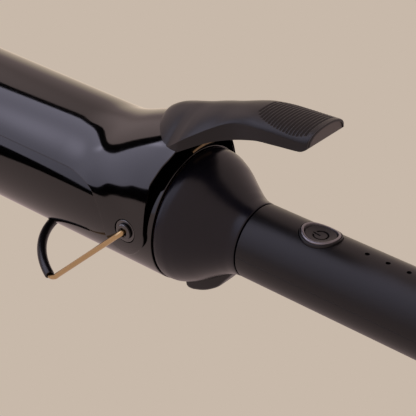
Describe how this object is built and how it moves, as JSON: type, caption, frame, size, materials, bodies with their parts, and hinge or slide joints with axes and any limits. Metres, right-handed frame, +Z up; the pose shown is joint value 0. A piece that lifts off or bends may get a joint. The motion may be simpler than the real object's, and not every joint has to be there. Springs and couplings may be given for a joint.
{
  "type": "curling iron",
  "caption": "Wide-barrel curling iron with a full-length spring clamp and thumb lever, bell-shaped heat shield, round handle with button and lamps, wire stand and swivel inlet.",
  "frame": {"origin": "centre of the bounding box in X and Y, at its base: the level surface that the iron stands on", "axes": "+X towards the tail of the handle, +Y to the left of someone holding the handle with the lever up, +Z up; the barrel's axis lies in the XZ plane and slopes down towards +X by 5.6 degrees"},
  "size_m": [0.3602, 0.0598, 0.0796],
  "materials": {
    "gloss_ceramic": "glossy black ceramic-coated tube and clamp",
    "soft_touch": "soft-touch black",
    "black_plastic": "satin black heat-resistant plastic",
    "sleeve_black": "matte black heat-resistant sleeve",
    "gold_wire": "polished gold-tone wire",
    "gold_leaf": "gold-tone spring leaf",
    "dark_steel": "blackened screw",
    "steel": "plain steel",
    "aluminium": "extruded, plain",
    "ceramic": "ceramic heater, stood in by matte plastic",
    "phenolic": "brown phenolic",
    "glass_bead": "glass-bead sensor",
    "board": "green circuit board",
    "component": "moulded electronic part",
    "film_cap": "dipped film capacitor",
    "lamp_lens": "smoked light guide",
    "trim": "dark satin-metallic trim",
    "contact": "brass contact",
    "lead": "silicone-sleeved lead"
  },
  "bodies": {
    "iron": {"barrel_tube": "gloss_ceramic", "cool_tip": "black_plastic", "tip_screw": "dark_steel", "tip_anchor": "steel", "rear_bush": "phenolic", "heat_spreader_upper": "aluminium", "heat_spreader_lower": "aluminium", "heater_plate": "ceramic", "spreader_spring_1": "steel", "spreader_spring_2": "steel", "thermistor": "glass_bead", "thermal_fuse": "steel", "heater_lead_1": "lead", "heater_lead_2": "lead", "sensor_lead": "lead", "bulb_housing": "soft_touch", "bush_screw_1": "steel", "bush_screw_2": "steel", "heel_foot": "soft_touch", "handle_upper": "soft_touch", "handle_lower": "soft_touch", "handle_screw_1": "dark_steel", "handle_screw_2": "dark_steel", "button_surround": "soft_touch", "button_trim_ring": "trim", "control_board": "board", "key_switch": "component", "indicator_lamp_1": "lamp_lens", "indicator_lamp_2": "lamp_lens", "indicator_lamp_3": "lamp_lens", "indicator_lamp_4": "lamp_lens", "indicator_lamp_5": "lamp_lens", "triac": "component", "filter_capacitor": "film_cap", "end_cap": "black_plastic", "slip_contact_1": "contact", "slip_contact_2": "contact", "pivot_bush_near": "black_plastic", "pivot_bush_far": "black_plastic", "pivot_screw_near": "dark_steel", "pivot_screw_far": "dark_steel", "clamp_spring": "gold_leaf"},
    "clamp": {"clamp_plate": "gloss_ceramic", "thumb_lever": "soft_touch", "lever_screw_1": "dark_steel", "lever_screw_2": "dark_steel"},
    "stand": {"stand_wire": "gold_wire", "stand_sleeve": "sleeve_black"},
    "button": {"power_button": "soft_touch", "switch_plunger": "component"},
    "swivel": {"cord_inlet_swivel": "black_plastic", "slip_ring_1": "contact", "slip_ring_2": "contact"}
  },
  "joints": [
    {"name": "clamp_hinge", "type": "hinge", "parent": "iron", "child": "clamp", "pos_m": [-0.01231, 0, 0.03148], "axis": [0, 1, 0], "range_deg": [0, 14], "stiffness_Nm_per_rad": 1, "springref_deg": -17.19, "deforming": ["clamp_spring"]},
    {"name": "stand_hinge", "type": "hinge", "parent": "iron", "child": "stand", "pos_m": [-0.01231, 0, 0.03148], "axis": [0, -1, 0], "range_deg": [0, 134]},
    {"name": "button_press", "type": "slide", "parent": "iron", "child": "button", "axis": [-0.097, 0, -0.9953], "range_m": [0, 0.0005], "stiffness_N_per_m": 1500, "springref_m": -0.0006},
    {"name": "cord_swivel", "type": "hinge", "parent": "iron", "child": "swivel", "pos_m": [0.16266, 0, 0.01443], "axis": [0.9953, 0, -0.097], "continuous": true}
  ]
}
